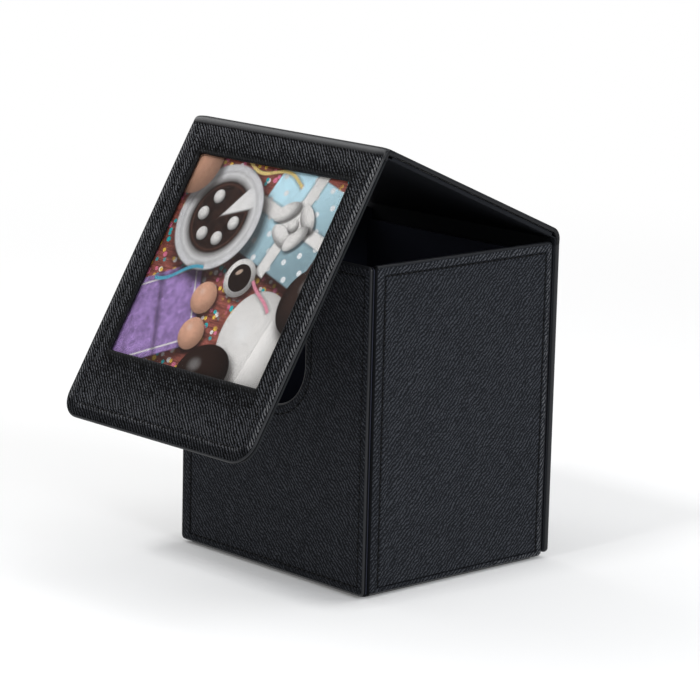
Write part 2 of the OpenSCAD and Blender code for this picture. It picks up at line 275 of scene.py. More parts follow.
class Shader:
    """One material or world and the nodes in it."""

    def __init__(self, name, kind="materials"):
        self.owner = getattr(bpy.data, kind).new(name)
        self.owner.use_nodes = True
        self.tree = self.owner.node_tree
        self.tree.nodes.clear()

    def node(self, kind, settings=None, sockets=None, out=0):
        """Adds a node. The setting "steps" holds a ramp's plain steps of colour."""
        made = self.tree.nodes.new(kind)
        for key, value in (settings or {}).items():
            if key == "steps":
                ramp = made.color_ramp
                ramp.interpolation = "CONSTANT"
                while len(ramp.elements) < len(value):
                    ramp.elements.new(1.0)
                for element, (at, colour) in zip(ramp.elements, value):
                    element.position, element.color = at, (*colour, 1.0)
            else:
                setattr(made, key, value)
        for key, value in (sockets or {}).items():
            socket = made.inputs[key]
            if isinstance(value, Value):
                self.tree.links.new(value.socket, socket)
            elif isinstance(socket.default_value, float):
                socket.default_value = value
            else:
                socket.default_value = (*value, 1.0)[:len(socket.default_value)]
        return Value(self, made.outputs[out]) if made.outputs else None

    def math(self, operation, *values):
        return self.node("ShaderNodeMath", {"operation": operation}, dict(enumerate(values)))

    def vector(self, operation, *values, out=0):
        return self.node("ShaderNodeVectorMath", {"operation": operation},
                         dict(enumerate(values)), out)

    def axes(self, vector):
        """A vector's three numbers."""
        split = self.node("ShaderNodeSeparateXYZ", sockets={0: vector})
        return [split.output(axis) for axis in "XYZ"]

    def attribute(self, name):
        """The three numbers that a mesh carries under a name, as a vector."""
        return self.node("ShaderNodeAttribute", {"attribute_name": name}, out="Vector")

    def place(self):
        return self.node("ShaderNodeTexCoord", out="Object")

    def mapped(self, vector, settings=None, **sockets):
        return self.node("ShaderNodeMapping", settings, {"Vector": vector, **sockets})

    def noise(self, vector, scale, detail=2.0, rough=0.5):
        return self.node("ShaderNodeTexNoise", {}, {
            "Vector": vector, "Scale": scale, "Detail": detail, "Roughness": rough})

    def mix(self, factor, first, second):
        """Mixes two colours."""
        return self.node("ShaderNodeMix", {"data_type": "RGBA"},
                         {0: factor, 6: first, 7: second}, out=2)

    def mix_surfaces(self, factor, first, second):
        return self.node("ShaderNodeMixShader", {}, {0: factor, 1: first, 2: second})

    def bump(self, height, distance, strength=1.0):
        return self.node("ShaderNodeBump", {}, {
            "Height": height, "Distance": distance, "Strength": strength})

    def glow(self, kind, strength):
        """White light of a given strength."""
        return self.node(kind, {}, {"Color": (1.0, 1.0, 1.0), "Strength": strength})

    def seen(self):
        """Shares of the rays that see the stage from the camera, also through clear
        things, and of those that see it in gloss."""
        rays = self.node("ShaderNodeLightPath")
        return (rays.output("Is Camera Ray").most(rays.output("Is Transmission Ray")),
                rays.output("Is Glossy Ray"))

    def surface(self, **sockets):
        """Principled surface; a socket's name has _ for each space."""
        named = {key.replace("_", " "): value for key, value in sockets.items()}
        return self.finish(self.node("ShaderNodeBsdfPrincipled", {}, named))

    def finish(self, surface):
        kind = "World" if isinstance(self.owner, bpy.types.World) else "Material"
        self.node(f"ShaderNodeOutput{kind}", {}, {"Surface": surface})
        return self.owner


def tinted(colour, share):
    """A colour made darker or lighter."""
    return tuple(c * share for c in colour)


def grained_leather(name, rib_side, pitch=1.0, contrast=1.0):
    """Black leather with a pressed cross grain. A mesh's "skin" numbers are its width and
    length in millimetres and the strength of the grain, and its tone mark is 1 where a
    highlight is painted on the grain and -1 where shade is painted, in creases and along
    edges. Rib_side is 1 for ribs that fall to the right."""
    sizes = in_mm(bpy.context.scene.box_leather)
    shader = Shader(name)
    skin = shader.attribute("skin")
    u, v, strength = shader.axes(skin)
    wear = shader.axes(shader.attribute("wear"))[0]
    # Shares of the painted highlight near edges and of the painted shade in creases and along
    # edges
    edge_lighting, crease_shade = wear.fade(0.0, 1.0), wear.fade(0.0, -1.0)

    # Ribs run aslant, drift and ripple a little, and break into cells
    wander = shader.noise(skin, 0.22, 2.0) - 0.5
    ripple = shader.noise(skin, 0.9, 1.0) - 0.5
    side, ahead = math.sin(sizes.rib_turn), math.cos(sizes.rib_turn)
    across = (u * (side * rib_side) + v * ahead
              + wander * (2.2 / contrast) + ripple * (0.6 / contrast))
    along = u * (ahead * rib_side) - v * side
    rib = across / (sizes.rib_pitch * pitch)
    stagger = (rib + 0.25).floor() * 2.4
    breaks = along * (2 * math.pi / (sizes.cross_pitch * pitch)) + stagger + ripple * 7.0
    ribs = (rib * (2 * math.pi)).sin().fade(-0.8, 0.95)
    cells = breaks.sin().fade(-1.0, 0.3)

    # Ribs stand clearer in clumps, with specks and pores over them
    clump = shader.noise(skin, 0.5, 2.0).fade(0.3, 0.7)
    speck = shader.noise(skin, 2.8, 3.0, 0.7).fade(0.32, 0.66)
    pores = shader.noise(skin, 11.0, 2.0)
    clear = clump * (0.4 * contrast) + (0.2 + 0.45 * contrast)
    height = ribs * clear * (0.25 + cells * 0.35 + speck * 0.4) + speck * (0.3 / contrast)
    height = height * strength

    # Crests are painted paler as a highlight, more so near edges, over valleys painted dark
    # as shade, and are glossier; smooth leather on folds and edges gets a painted sheen, and a
    # crease gets painted shade and is dull
    crest = height.fade(0.15, 0.95) * (0.3 + speck * 0.9 + clump * 0.2) * (edge_lighting * 2.0 + 1.0)
    smooth = strength.fade(0.4, 0.0)
    dark, light = 1.1 / contrast ** 5, 5.2 * contrast ** 0.2
    colour = shader.mix(crest, tinted(sizes.colour, dark), tinted(sizes.colour, light))
    colour = shader.mix(smooth, colour, tinted(sizes.colour, 1.5))
    colour = shader.mix(crease_shade * 0.8, colour, tinted(sizes.colour, 0.15))
    rough = 0.8 - crest * 0.3 - smooth * 0.35 + crease_shade * 0.3
    coat = smooth + crest * (edge_lighting * 0.8 + 0.1 + (contrast - 1.0) * 0.65)
    relief = shader.bump(height + pores * 0.05, sizes.depth * contrast * MM)
    return shader.surface(
        Base_Color=colour, Roughness=rough, IOR=1.15, Coat_Weight=coat * (1.0 - crease_shade),
        Coat_Roughness=0.32, Normal=relief)


def plain_lining(name, colour, weave=0.0):
    """Fine black lining with a faint pebble, or with a weave of a depth in millimetres."""
    shader = Shader(name)
    place = shader.place()
    grain = shader.noise(place, 2600, 3.0, 0.6)
    cloud = shader.noise(place, 60, 2.0)
    tone = shader.mix(cloud * 0.6, tinted(colour, 0.8), tinted(colour, 1.3))
    tone = shader.mix(grain * 0.3, tone, tinted(colour, 1.5))
    return shader.surface(
        Base_Color=tone, Roughness=0.6 + (grain - 0.5) * 0.2, IOR=1.3 if weave else 1.2,
        Normal=shader.bump(grain, (0.05 + weave) * MM, 0.6))


def grey_board(name):
    """Bookbinder's board: pressed grey fibre."""
    shader = Shader(name)
    place = shader.place()
    fibre = shader.noise(place, 900, 5.0, 0.7)
    fleck = shader.noise(place, 220, 2.0).fade(0.62, 0.7)
    tone = shader.mix(fibre, (0.2, 0.185, 0.165), (0.34, 0.32, 0.29))
    tone = shader.mix(fleck * 0.4, tone, (0.12, 0.11, 0.1))
    return shader.surface(Base_Color=tone, Roughness=0.86 + fibre * 0.1,
                          Normal=shader.bump(fibre, 0.06 * MM))


def thread(name):
    """Waxed black thread with its twist."""
    shader = Shader(name)
    u, v, _ = shader.axes(shader.attribute("skin"))
    twist = (u * 9.0 + v * 14.0).sin().fade(-0.9, 0.9)
    colour = shader.mix(twist, (0.0012, 0.0012, 0.0015), (0.005, 0.005, 0.006))
    return shader.surface(Base_Color=colour, Roughness=0.55 - twist * 0.15, IOR=1.3,
                          Normal=shader.bump(twist, 0.03 * MM))


def metal(name, colour, rough):
    """Plated metal with a fine rolled grain."""
    shader = Shader(name)
    grain = shader.noise(shader.place(), 3000, 3.0, 0.7)
    return shader.surface(
        Base_Color=shader.mix(grain * 0.4, colour, tinted(colour, 0.8)),
        Metallic=1.0, Roughness=rough + (grain - 0.5) * 0.12,
        Normal=shader.bump(grain, 0.004 * MM))


def clear_film(name):
    """Thin clear film: mostly see-through, with a soft gloss."""
    shader = Shader(name)
    ripple = shader.noise(shader.place(), 45, 1.0)
    normal = shader.bump(ripple, 0.25 * MM, 0.35)
    gloss = shader.node("ShaderNodeBsdfGlossy", {}, {
        "Color": (1.0, 1.0, 1.0), "Roughness": 0.1, "Normal": normal})
    clear = shader.node("ShaderNodeBsdfTransparent", {}, {"Color": (1.0, 1.0, 1.0)})
    edge = shader.node("ShaderNodeFresnel", {}, {"IOR": 1.3, "Normal": normal})
    return shader.finish(shader.mix_surfaces(edge * 0.06, clear, gloss))


class Picture:
    """Paints flat shapes with soft shadows over a picture, one over the other. Places run
    from -1 to 1 both ways."""

    def __init__(self, shader, place, colour):
        self.shader, self.place, self.colour = shader, place, colour

    def local(self, x, y, wide=1.0, long=None, lean=0.0):
        """Place as seen from a shape's middle, in shares of its half sizes."""
        return self.shader.mapped(
            self.place, {"vector_type": "TEXTURE"}, Location=(x, y, 0),
            Rotation=(0, 0, lean), Scale=(wide, long or wide, 1))

    def sides(self, x, y, lean=0.0):
        """Distances from a shape's two middle lines."""
        return self.shader.axes(self.local(x, y, lean=lean))[:2]

    def disc(self, *shape):
        """Distance from the middle of an ellipse: 1 at its edge."""
        return self.shader.vector("LENGTH", self.local(*shape), out=1)

    def slab(self, x, y, wide, long, lean=0.0):
        """Distance over the edge of a rectangle."""
        a, b = self.sides(x, y, lean)
        return (abs(a) - wide).most(abs(b) - long)

    def lay(self, distance, colour, edge=0.0, soft=0.012):
        """Lays a plain shape down."""
        self.colour = self.shader.mix(distance.fade(edge + soft, edge - soft), self.colour,
                                      colour)

    def shade(self, distance, amount, edge, soft):
        """Darkens the picture round a shape."""
        share = distance.fade(edge + soft, edge - soft * 0.4) * amount
        self.colour = self.shader.mix(share, self.colour, (0.012, 0.006, 0.005))

    def ball(self, x, y, wide, long, lean, colour, gloss=0.7, deep=0.3):
        """Lays down a round shape that is lit from the upper left."""
        self.shade(self.disc(x + wide * 0.18, y - long * 0.18, wide, long, lean), 0.8, 1, 0.25)
        place = self.local(x, y, wide, long, lean)
        lit = self.shader.vector("DISTANCE", place, (-0.3, 0.34, 0), out=1)
        tone = self.shader.mix(lit.fade(0.4, 1.45), colour, tinted(colour, deep))
        if gloss:
            pale = tuple(channel * 0.4 + 0.6 for channel in colour)
            tone = self.shader.mix(lit.fade(0.34, 0.05) * gloss, tone, pale)
        self.lay(self.shader.vector("LENGTH", place, out=1), tone, 1, 0.016)

    def stroke(self, x, y, lean, curl, length, colour, wide=0.016):
        """Lays down a curled ribbon."""
        a, b = self.sides(x, y, lean)
        bend = abs(b - (a * 9.0).sin() * curl).most((abs(a) - length) * 4)
        self.shade(bend, 0.45, wide + 0.01, 0.03)
        self.lay(bend, colour, wide, 0.008)


def party_table(shader, skin, ground):
    """Dark wooden table with patches of paper dots."""
    grain = shader.noise(shader.mapped(skin, Scale=(0.25, 1.6, 1)), 0.8, 4.0, 0.65)
    table = shader.mix(grain.fade(0.3, 0.7), tinted(ground, 0.5), tinted(ground, 1.5))
    patches = shader.noise(skin, 0.09, 1.0).fade(0.42, 0.5)
    for scale, shift in ((0.26, 0.0), (0.34, 40.0)):
        spots = shader.node("ShaderNodeTexVoronoi", {"voronoi_dimensions": "2D"}, {
            "Vector": shader.mapped(skin, Location=(shift, shift, 0)), "Scale": scale,
            "Randomness": 0.95})
        hue = shader.node("ShaderNodeSeparateColor", {}, {0: spots.output("Color")})
        dots = shader.node("ShaderNodeValToRGB", {"steps": (
            (0.0, (0.02, 0.5, 0.55)), (0.25, (0.9, 0.6, 0.08)), (0.5, (0.8, 0.2, 0.34)),
            (0.75, (0.85, 0.83, 0.85)), (1.0, (0.1, 0.4, 0.7)))}, {0: hue})
        table = shader.mix(spots.fade(0.23, 0.2) * patches, table, dots)
    return table


def party_print(name):
    """Instant print: white card, and a picture of a party table from above, with a parcel,
    a cake, a cup, balloons and confetti."""
    colours = bpy.context.scene.box_print
    blue, lavender, cream, peach, brown, ground = (
        tuple(getattr(colours, key)) for key in
        ("blue", "lavender", "cream", "peach", "brown", "ground"))
    shader = Shader(name)
    skin = shader.attribute("skin")
    half = PICTURE / 2
    place = shader.mapped(skin, {"vector_type": "TEXTURE"},
                          Location=(0, PICTURE_TOP + half, 1), Scale=(half, -half, 1))
    weave = shader.noise(skin, 0.5, 3.0, 0.6)
    picture = Picture(shader, place, party_table(shader, skin, ground))

    # Napkin with a fold and a stitched hem
    picture.shade(picture.slab(-0.64, -0.62, 0.54, 0.40, 0.42), 0.8, 0.0, 0.07)
    napkin = picture.slab(-0.70, -0.56, 0.54, 0.40, 0.42)
    cloth = shader.mix(weave.fade(0.25, 0.75), tinted(lavender, 0.7), tinted(lavender, 1.4))
    picture.lay(napkin, cloth)
    picture.lay(abs(napkin + 0.06), cream, 0.008, 0.006)
    crease_shade = abs(picture.sides(-0.62, -0.56, 0.42)[0])
    picture.shade(crease_shade.most(napkin * 4), 0.6, 0.01, 0.05)

    # Parcel with a ribbon and its bow
    lean = -0.28
    picture.shade(picture.slab(0.56, 0.40, 0.49, 0.46, lean), 0.9, 0.0, 0.09)
    parcel = picture.slab(0.50, 0.50, 0.48, 0.46, lean)
    a, b = picture.sides(0.50, 0.50, lean)
    paper = shader.mix((a - b).fade(-0.8, 0.8), tinted(blue, 1.3), tinted(blue, 0.5))
    dots = ((a * 26.0).sin() * (b * 26.0).sin()).fade(0.72, 0.8)
    picture.lay(parcel, shader.mix(dots, paper, (0.85, 0.88, 0.9)))
    band = abs(a).least(abs(b)).most(parcel)
    picture.shade(band, 0.6, 0.06, 0.04)
    picture.lay(band, cream, 0.06)
    for x, y, turn in ((0.37, 0.60, 0.6), (0.64, 0.57, -0.9), (0.42, 0.38, -0.5),
                       (0.60, 0.38, 0.9)):
        picture.ball(x, y, 0.15, 0.075, turn, cream, 0)
    picture.ball(0.505, 0.49, 0.06, 0.06, 0.0, cream, 0)

    # Plate with a dark cake, cut open, and its cream
    x, y = -0.42, 0.43
    picture.shade(picture.disc(-0.35, 0.36, 0.52), 0.9, 1, 0.2)
    plate = picture.disc(x, y, 1.0)
    picture.lay(plate, shader.mix(plate.fade(0.3, 0.5), (0.88, 0.87, 0.86), (0.7, 0.7, 0.72)),
                0.50)
    picture.shade(abs(plate - 0.43), 0.3, 0.0, 0.03)
    a, b = picture.sides(x, y)
    cut = (b - a * 0.35).least(a * 1.4 - b)
    cake = plate.most(cut * 3 + 0.34)
    picture.shade(cake, 0.8, 0.36, 0.06)
    crust = shader.mix(weave.fade(0.3, 0.7), tinted(brown, 0.4), tinted(brown, 1.6))
    picture.lay(cake, crust, 0.34)
    picture.lay(abs(cake - 0.31), tinted(brown, 3.5), 0.006, 0.012)
    for i in range(5):
        t = math.radians(120 + i * 58)
        picture.ball(x + 0.21 * math.cos(t), y + 0.21 * math.sin(t), 0.065, 0.065, 0.0,
                     cream, 0)

    # Cup, small cakes, balloons and ribbons
    picture.ball(0.16, -0.06, 0.18, 0.18, 0.0, cream, 0)
    picture.lay(picture.disc(0.16, -0.06, 0.13), tinted(brown, 0.6), 1, 0.03)
    picture.lay(picture.disc(0.125, -0.01, 0.04, 0.02, 0.6), (0.6, 0.45, 0.35), 1, 0.3)
    for ball in ((-0.16, -0.30, 0.15, 0.15, 0.0, peach, 0.3, 0.45),
                 (-0.12, -0.63, 0.15, 0.15, 0.0, peach, 0.3, 0.45),
                 (0.66, -0.60, 0.42, 0.50, 0.5, cream, 0.8, 0.35),
                 (1.02, -0.14, 0.27, 0.32, -0.3, brown, 0.3),
                 (0.20, -0.94, 0.32, 0.26, 0.3, brown, 0.3),
                 (-0.98, 0.92, 0.30, 0.34, 0.3, peach, 0.6, 0.35)):
        picture.ball(*ball)
    for stroke in ((0.02, 0.92, -0.15, 0.05, 0.40, (0.85, 0.66, 0.25)),
                   (-0.60, -0.13, 0.25, 0.04, 0.28, (0.1, 0.45, 0.62)),
                   (0.50, -0.18, -0.8, 0.035, 0.2, (0.8, 0.3, 0.4))):
        picture.stroke(*stroke)

    # White card round the picture, and its dark back
    inside = picture.slab(0, 0, 1.0, 1.0).fade(0.006, -0.006)
    colour = shader.mix(inside, (0.76, 0.76, 0.75), picture.colour)
    back = shader.axes(shader.attribute("wear"))[0].fade(-0.4, -0.6)
    colour = shader.mix(back, colour, (0.03, 0.03, 0.033))
    return shader.surface(Base_Color=colour, Roughness=0.5, IOR=1.25)


def studio_floor(name):
    """White floor that keeps the soft shadow and meets a white background."""
    shader = Shader(name)
    camera, gloss = shader.seen()
    lit = shader.node("ShaderNodeBsdfDiffuse", {}, {"Color": (0.92, 0.92, 0.92)})
    white = shader.glow("ShaderNodeEmission", 1.0)
    grey = shader.glow("ShaderNodeEmission", bpy.context.scene.box_stage.mirrored)
    far = shader.vector("LENGTH", shader.place(), out=1).fade(0.14, 0.7) * 0.9 + 0.1
    mixed = shader.mix_surfaces(camera * far, lit, white)
    return shader.finish(shader.mix_surfaces(gloss * 0.7, mixed, grey))


def studio_room(name):
    """Soft light all round, a dim room seen in gloss, and a white background."""
    sizes = bpy.context.scene.box_stage
    shader = Shader(name, "worlds")
    camera, gloss = shader.seen()
    sky, room, white = (shader.glow("ShaderNodeBackground", strength)
                        for strength in (sizes.sky, sizes.room, 1.0))
    mixed = shader.mix_surfaces(gloss, sky, room)
    return shader.finish(shader.mix_surfaces(camera, mixed, white))


def material(name, make, *args):
    """Makes a material once."""
    return bpy.data.materials.get(name) or make(name, *args)


def leather(kind):
    """The walls' leather, whose ribs rise or fall, or the cover's, with a finer grain."""
    pitch = bpy.context.scene.box_leather.cover_pitch
    settings = {"rising": (-1.0,), "falling": (1.0,), "cover": (-1.0, pitch, 1.7)}
    return material(f"leather_{kind}", grained_leather, *settings[kind])


def cover_lining():
    return material("lining_black", plain_lining, bpy.context.scene.box_leather.lining)


def arc(middle, radius, start, end, steps):
    """Points round part of a circle, with angles in degrees."""
    turns = (math.radians(start + (end - start) * i / steps) for i in range(steps + 1))
    return [(middle[0] + radius * math.cos(t), middle[1] + radius * math.sin(t))
            for t in turns]


def chain(*points):
    """Straight runs from each point to the next."""
    return list(zip(points, points[1:]))


def rounded_ring(low, high, radii, inset, steps=6):
    """Loop round a rectangle with rounded corners, drawn in by an inset for each side:
    left, right, near and far. Radii are those of the near and far corners."""
    x0, x1 = low[0] + inset[0], high[0] - inset[1]
    y0, y1 = low[1] + inset[2], high[1] - inset[3]
    points = []
    for x, y, out_x, out_y, start in ((x1, y0, 1, 0, -90), (x1, y1, 1, 1, 0),
                                      (x0, y1, 0, 1, 90), (x0, y0, 0, 0, 180)):
        away = min(inset[out_x], inset[2 + out_y])
        r = max(radii[out_y] - away, SQUARE_R)
        middle = (x - r if out_x else x + r, y - r if out_y else y + r)
        points += arc(middle, r, start, start + 90, steps)
    return points


def notched_ring(low, high, inset, steps=6):
    """Loop round the front wall, with the thumb notch in its far side."""
    plain = rounded_ring(low, high, (CORNER_R, CORNER_R), inset, steps)
    right, left = plain[:2 * steps + 2], plain[2 * steps + 2:]
    top, away = high[1] - inset[3], inset[3]
    r = max(CORNER_R - away, SQUARE_R)
    reach = NOTCH_R + away
    return (right + arc((reach + r, top - r), r, 90, 180, steps)
            + arc((0, NOTCH_Z), reach, 0, -180, 8 * steps)
            + arc((-reach - r, top - r), r, 0, 90, steps) + left)


def turned_edge(thickness, steps=4):
    """Section from a panel's inner face round its edge to its outer face, as insets,
    heights and lengths along the leather."""
    e = min(EDGE_R, 0.45 * thickness)
    quarter = e * math.pi / 2
    bends = [(i / steps, math.sin(math.pi / 2 * i / steps), math.cos(math.pi / 2 * i / steps))
             for i in range(steps + 1)]
    rows = [(TURN_IN, 0.0, -TURN_IN - thickness - 2 * quarter)]
    rows += [(e * (1 - s), e * (1 - c), 3 * e - quarter * (2 - share) - thickness)
             for share, s, c in bends]
    rows += [(e * (1 - c), thickness - e * (1 - s), e - quarter * (1 - share))
             for share, s, c in bends]
    return rows


def tube(first, second, count):
    """Faces between two loops of vertices, given by the numbers of their first ones."""
    return [(first + j, first + (j + 1) % count, second + (j + 1) % count, second + j)
            for j in range(count)]


class Rings:
    """A panel built from loops of equally many points, each with a height. Sheet turns a
    point on the leather into its place on the whole hide."""

    def __init__(self, sheet=None):
        self.rows, self.skins, self.wear = [], [], []
        self.sheet = sheet or (lambda u, v: (u, v))

    def add(self, points, height, skin, strength=1.0, wear=0.0):
        """Adds a loop. Its tone mark, which paints highlight above 0 and shade below 0 on
        leather, is a number, or tells it from a point's place.
        """
        self.rows.append([(x, y, height) for x, y in points])
        self.skins += [(*self.sheet(x, y), strength) for x, y in skin]
        self.wear += [wear(x, y) if callable(wear) else wear for x, y in points]

    def mesh(self, name, place, close=False):
        """The closed mesh. With close, the last loop joins the first; otherwise a face
        fills each end."""
        count, rows = len(self.rows[0]), len(self.rows)
        vertices = [place @ Vector(p) for row in self.rows for p in row]
        faces = []
        for i in range(rows if close else rows - 1):
            faces += tube(i * count, (i + 1) % rows * count, count)
        if not close:
            faces += [tuple(reversed(range(count))),
                      tuple(range((rows - 1) * count, rows * count))]
        return new_piece(name, vertices, faces, self.skins, self.wear)


def new_piece(name, vertices, faces, skin, wear=None):
    """A smooth mesh object that carries its leather numbers."""
    data = bpy.data.meshes.new(name)
    data.from_pydata([tuple(v) for v in vertices], [], faces)
    work = bmesh.new()
    work.from_mesh(data)
    bmesh.ops.recalc_face_normals(work, faces=work.faces[:])
    work.to_mesh(data)
    work.free()
    toned = [(w, 0.0, 0.0) for w in wear or [0.0] * len(skin)]
    for key, rows in (("skin", skin), ("wear", toned)):
        numbers = data.attributes.new(key, "FLOAT_VECTOR", "POINT")
        numbers.data.foreach_set("vector", [c for row in rows for c in row])
    data.shade_smooth()
    data.set_sharp_from_angle(angle=math.radians(52))
    piece = bpy.data.objects.new(name, data)
    bpy.context.scene.collection.objects.link(piece)
    weighted = piece.modifiers.new("Weighted normals", "WEIGHTED_NORMAL")
    weighted.weight, weighted.keep_sharp = 60, True
    return piece


def dress(piece, surface):
    """Gives a piece or a solid its one material."""
    piece.data.materials.clear()
    piece.data.materials.append(surface)


def finish_piece(piece, body, slot_name, surface, *nodes):
    """Gives a piece its material and its body, and hides the solids that it stands for."""
    dress(piece, surface)
    if body:
        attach(piece, body)
    if nodes:
        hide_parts(*nodes)


def surface_steps(seam, deep=None):
    """Steps over a sewn edge: distance from the edge, drop below the panel's height, and
    share of the seam's crease, which also sets its painted shade. Leather rolls off to the
    edge and dips along the seam."""
    sizes = in_mm(bpy.context.scene.box_seams)
    wide, deep = sizes.channel_w, sizes.channel if deep is None else deep
    steps = [(at, sizes.crown * (1 - at / seam) ** 2, 0.0)
             for at in (EDGE_R, 1.0, 1.5, 2.1, 2.8, 3.5) if at < seam - 1.8 * wide]
    for step, share in ((-1.7, 0.0), (-1.0, 0.12), (-0.5, 0.6), (0.0, 1.0), (0.5, 0.6),
                        (1.0, 0.12), (1.8, 0.0)):
        at = seam + step * wide
        steps.append((at, deep * share + sizes.crown * max(0.0, 1 - at / seam) ** 2, share))
    return steps


def panel(name, ring, thickness, seams, place, cut=(), sheet=None, band=1.0, edge=0.0,
          beside_sheen=0.0):
    """A panel with turned edges and a channel along its seams. Sides in cut are square,
    where a fold goes on. Seams gives each side's distance to its stitches, band is the
    strength of the grain outside them, edge the tone mark of the turned edge, which paints
    shade there, and the last argument the tone mark of the leather beside it, which paints
    a highlight."""
    rings = Rings(sheet)

    def loop(insets):
        return ring([0.0 if side in cut else inset for side, inset in enumerate(insets)])

    main = max(seams)
    steps = surface_steps(main)
    rows = turned_edge(thickness - steps[0][1])
    for i, (inset, height, skin) in enumerate(rows):
        # Painted shade on the turned edge, short of its rounding's outer rows unless given by
        # place
        toned = edge if callable(edge) or i < len(rows) - ROUND_ROWS else 0.0
        rings.add(loop([inset] * 4), height, loop([skin] * 4), 0.1, toned)
    for at, drop, crease_shade in steps[1:]:
        points = loop([at * (seam or main * 0.5) / main for seam in seams])
        # Painted shade in the seam's channel, and painted highlight on the leather beside the
        # edge
        rings.add(points, thickness - drop, points, band if at < main else 1.0,
                  -crease_shade if crease_shade or at > main else beside_sheen)
    return rings.mesh(name, place)


def stitch_run(vertices, faces, skin, start, end, place, lift):
    """Adds the stitches of one straight seam."""
    sizes = in_mm(bpy.context.scene.box_seams)
    start, end = Vector(start), Vector(end)
    length = (end - start).length
    along = (end - start).normalized()
    side = Vector((-along.y, along.x))
    count = int(length / sizes.pitch)
    spare = length - count * sizes.pitch
    sides = 8
    # Places along a stitch, and its thickness there as a share of the thread's
    swells = ((-0.5, 0.15), (-0.44, 0.62), (-0.3, 0.94), (0, 1.05), (0.3, 0.94),
              (0.44, 0.62), (0.5, 0.15))
    for i in range(count):
        middle = start + along * (spare / 2 + (i + 0.5) * sizes.pitch)
        first = len(vertices)
        slant = 0.06 * sizes.pitch * (1 if i % 2 else 0.4)
        for j, (at, swell) in enumerate(swells):
            r = sizes.thread_r * swell
            dip = sizes.thread_r * 1.6 * (abs(at) * 2) ** 4
            centre = middle + along * (at * sizes.stitch) + side * (slant * at)
            for k in range(sides):
                t = 2 * math.pi * k / sides
                p = centre + side * (r * math.cos(t))
                vertices.append(place @ Vector((p.x, p.y, lift - dip + r * math.sin(t))))
                skin.append((at * sizes.stitch, t * sizes.thread_r, 1.0))
            if j:
                faces += tube(first + (j - 1) * sides, first + j * sides, sides)
        last = len(vertices) - sides
        faces += [tuple(first + k for k in reversed(range(sides))),
                  tuple(last + k for k in range(sides))]


def stitches(name, body, runs, place, height):
    """One piece with all the stitches of a panel."""
    sizes = in_mm(bpy.context.scene.box_seams)
    vertices, faces, skin = [], [], []
    lift = height - sizes.channel + sizes.thread_r * 0.7
    for start, end in runs:
        stitch_run(vertices, faces, skin, start, end, place, lift)
    piece = new_piece(name, vertices, faces, skin)
    finish_piece(piece, body, "leather", material("waxed_thread", thread))


def bent_path(start, heading, legs, turn, radius, steps=14):
    """Outer line of a strip with one round bend to the left, as points with their outward
    directions and lengths. Legs are measured to the corner of the outer faces."""
    radius = min(radius, (min(legs) - 0.05) / math.tan(turn / 2))
    cut = radius * math.tan(turn / 2)
    ahead = Vector((math.cos(heading), math.sin(heading)))
    out = Vector((ahead.y, -ahead.x))
    start = Vector(start)
    first, rest = legs[0] - cut, legs[1] - cut
    rows = [(start + ahead * first * i / 3, out, first * i / 3) for i in range(3)]
    bend = start + ahead * first - out * radius
    for i in range(steps + 1):
        t = turn * i / steps
        away = out * math.cos(t) + ahead * math.sin(t)
        rows.append((bend + away * radius, away, first + radius * t))
    last, away, length = rows[-1]
    onward = Vector((-away.y, away.x))
    rows += [(last + onward * rest * i / 3, away, length + rest * i / 3) for i in (1, 2, 3)]
    return rows


def strip_margin(thickness, edge_t, seam):
    """Half section of a strip from its inner face round its end to its outer face: insets
    and depths, and the steps over its outer face."""
    edge_t = max(edge_t, thickness)
    e = min(EDGE_R if edge_t > thickness else 0.2, 0.45 * edge_t)
    steps = [step[:2] for step in surface_steps(seam, 0.0)] if seam else [(e, 0.0), (2.0, 0.0)]
    top = steps[0][1]
    margin = []
    if edge_t > thickness:
        margin += [(3.4, thickness), (1.6, thickness + 0.15), (1.5, edge_t)]
    margin.append((e, edge_t))
    for t in map(math.radians, (30, 60, 90)):
        margin.append((e * (1 - math.sin(t)), edge_t - e * (1 - math.cos(t))))
    for t in map(math.radians, (0, 30, 60)):
        margin.append((e * (1 - math.cos(t)), top + e * (1 - math.sin(t))))
    return margin, steps


def strip(name, path, widths, thickness, pose, gloss, first_v=0.0, edge_t=0.0, seam=0.0):
    """A bent strip across the box, with its ends turned. Widths are those of its start and
    its end. Edge_t is how deep its turned edges reach, and gloss takes the grain away, for a
    glossy fold with a painted sheen."""
    margin, steps = strip_margin(thickness, edge_t, seam)
    first_outer = len(margin)
    margin += steps
    spans, reach, total = 20, steps[-1][0], path[-1][2]
    vertices, faces, skin = [], [], []
    for i, (at, away, length) in enumerate(path):
        share = length / total
        half = (widths[0] * (1 - share) + widths[1] * share) / 2
        near = [(-half + inset, depth, k >= first_outer)
                for k, (inset, depth) in enumerate(margin)]
        outer = [(-half + reach + (2 * half - 2 * reach) * k / spans, 0.0, True)
                 for k in range(1, spans)]
        far = [(-x, depth, on_top) for x, depth, on_top in reversed(near)]
        inset = half - margin[0][0]
        under = [(inset - 2 * inset * k / spans, thickness, False) for k in range(1, spans)]
        section = near + outer + far + under
        for x, depth, on_top in section:
            p = at - away * depth
            vertices.append(pose @ (Vector((x, p.x, p.y)) * MM))
            strength = (1 - gloss * math.sin(math.pi * share) ** 0.4) if on_top else 0.2
            skin.append((x, first_v + length, strength))
        count = len(section)
        if i:
            faces += tube((i - 1) * count, i * count, count)
    faces.append(tuple(range(count)))
    faces.append(tuple(range((len(path) - 1) * count, len(path) * count))[::-1])
    return new_piece(name, vertices, faces, skin)


